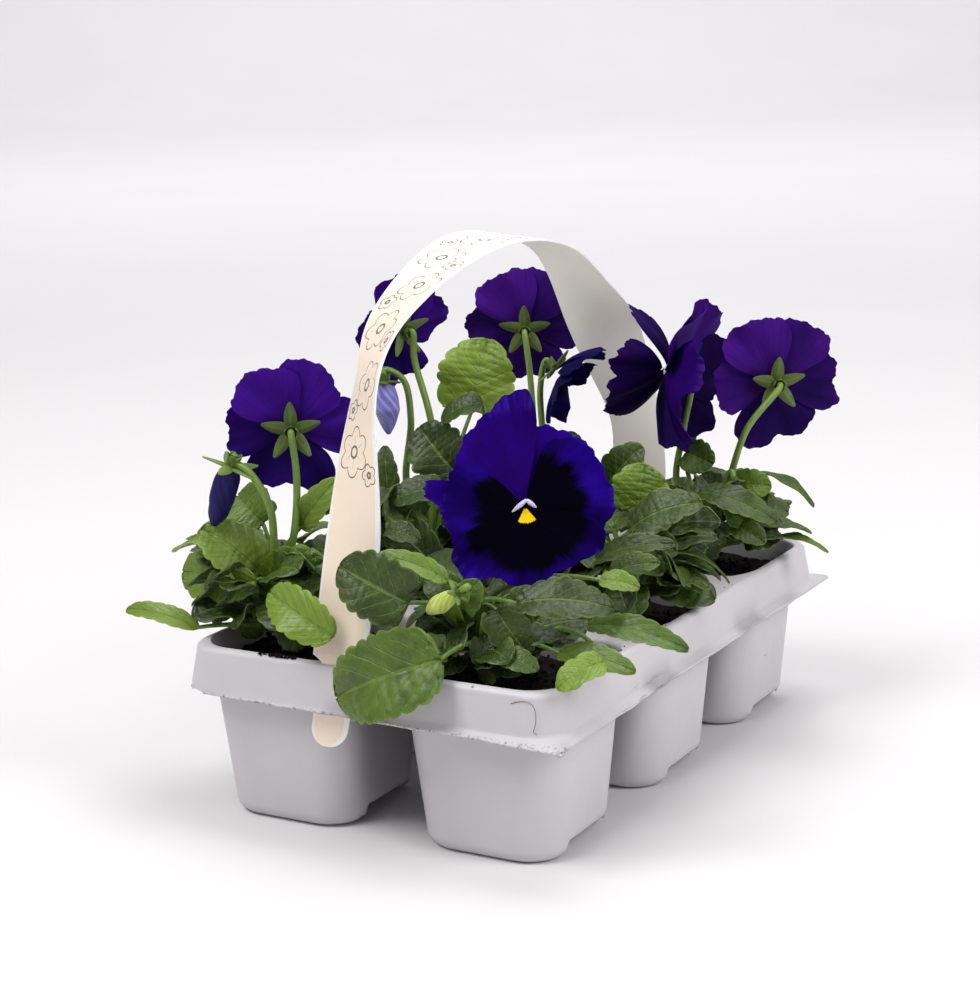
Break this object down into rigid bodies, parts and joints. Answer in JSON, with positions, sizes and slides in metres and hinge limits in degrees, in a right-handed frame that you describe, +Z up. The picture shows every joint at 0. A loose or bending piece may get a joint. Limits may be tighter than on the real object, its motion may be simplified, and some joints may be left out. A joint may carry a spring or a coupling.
{
  "type": "potted pansy planter",
  "caption": "Plastic cell tray of violet pansies in growing mix, with a flat printed strip arched over it as a carry handle.",
  "frame": {"origin": "on the floor under the middle of the tray", "axes": "+Z up; Y along the tray's long side, with the side facing the viewer at -Y; X along its short side"},
  "size_m": [0.2556, 0.2991, 0.2348],
  "materials": {
    "tray_plastic": "satin, formed sheet",
    "strip_film": "printed film, satin",
    "growing_mix": "loose damp growing mix",
    "leaf": "soft leaf, slightly waxy",
    "petal_violet": "velvety petal",
    "petal_indigo": "velvety petal",
    "petal_faded": "drying petal",
    "petal_lime": "closed bud, soft"
  },
  "bodies": {
    "root": {"tray": "tray_plastic", "carry_strip": "strip_film", "soil_front_left": "growing_mix", "soil_front_right": "growing_mix", "soil_middle_left": "growing_mix", "soil_middle_right": "growing_mix", "soil_back_left": "growing_mix", "soil_back_right": "growing_mix", "plant_front_left": "leaf", "plant_front_right": "leaf", "plant_middle_left": "leaf", "plant_middle_right": "leaf", "plant_back_left": "leaf", "plant_back_right": "leaf", "bloom_a": "petal_violet", "bloom_b": "petal_violet", "bloom_d": "petal_violet", "bloom_f": "petal_violet", "bloom_g": "petal_indigo", "bloom_h": "petal_violet", "bloom_i": "petal_violet", "bud_c": "petal_indigo", "bud_e": "petal_faded", "bud_j": "petal_indigo", "bud_k": "petal_lime"}
  },
  "joints": []
}
